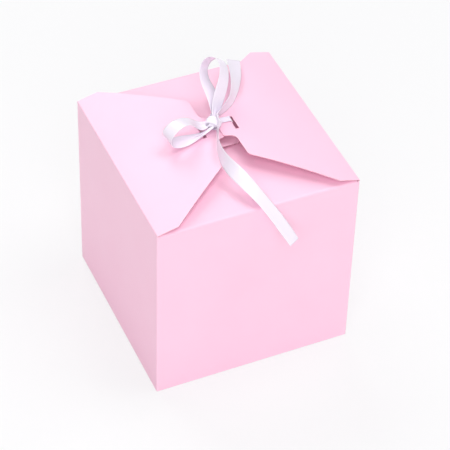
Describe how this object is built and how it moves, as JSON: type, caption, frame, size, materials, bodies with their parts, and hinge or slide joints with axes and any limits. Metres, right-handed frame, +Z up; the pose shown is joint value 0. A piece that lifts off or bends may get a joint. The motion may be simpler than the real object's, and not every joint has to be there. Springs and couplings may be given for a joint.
{
  "type": "gift box",
  "caption": "Square folding-carton gift box with hinged top flaps whose slotted tongues meet in the middle, tied shut with a satin ribbon bow.",
  "frame": {"origin": "middle of the footprint, on the surface that the box stands on", "axes": "+Z up; -Y is the front wall, the one that the long ribbon tail hangs over; +X is right, with the box seen from the front"},
  "size_m": [0.15, 0.1754, 0.2002],
  "materials": {
    "board": "smooth matt coated paperboard, pink outside and paler inside",
    "ribbon": "white satin ribbon with a soft sheen"
  },
  "bodies": {
    "carton": {"front_wall": "board", "right_wall": "board", "back_wall": "board", "left_wall": "board", "glue_strip": "board", "bottom_back_panel": "board", "bottom_left_panel": "board", "bottom_right_panel": "board", "bottom_front_panel": "board"},
    "left_top": {"left_flap": "board", "ribbon_left_pass": "ribbon", "ribbon_knot": "ribbon", "ribbon_left_loop": "ribbon", "ribbon_back_loop": "ribbon", "ribbon_front_tail": "ribbon", "ribbon_back_tail": "ribbon"},
    "right_top": {"right_flap": "board", "ribbon_right_pass": "ribbon"},
    "front_dust": {"front_dust_flap": "board"},
    "back_dust": {"back_dust_flap": "board"}
  },
  "joints": [
    {"name": "left_crease", "type": "hinge", "parent": "carton", "child": "left_top", "pos_m": [-0.07475, 0, 0.1525], "axis": [0, -1, 0], "range_deg": [0, 180]},
    {"name": "right_crease", "type": "hinge", "parent": "carton", "child": "right_top", "pos_m": [0.07475, 0, 0.1525], "axis": [0, 1, 0], "range_deg": [0, 180]},
    {"name": "front_crease", "type": "hinge", "parent": "carton", "child": "front_dust", "pos_m": [0, -0.07475, 0.1515], "axis": [1, 0, 0], "range_deg": [0, 90]},
    {"name": "back_crease", "type": "hinge", "parent": "carton", "child": "back_dust", "pos_m": [0, 0.07475, 0.1515], "axis": [-1, 0, 0], "range_deg": [0, 126]}
  ],
  "couplings": [
    {"joint": "right_crease", "follows": "left_crease", "ratio": 1},
    {"joint": "front_crease", "follows": "left_crease", "ratio": 0.5},
    {"joint": "back_crease", "follows": "left_crease", "ratio": 0.7}
  ]
}
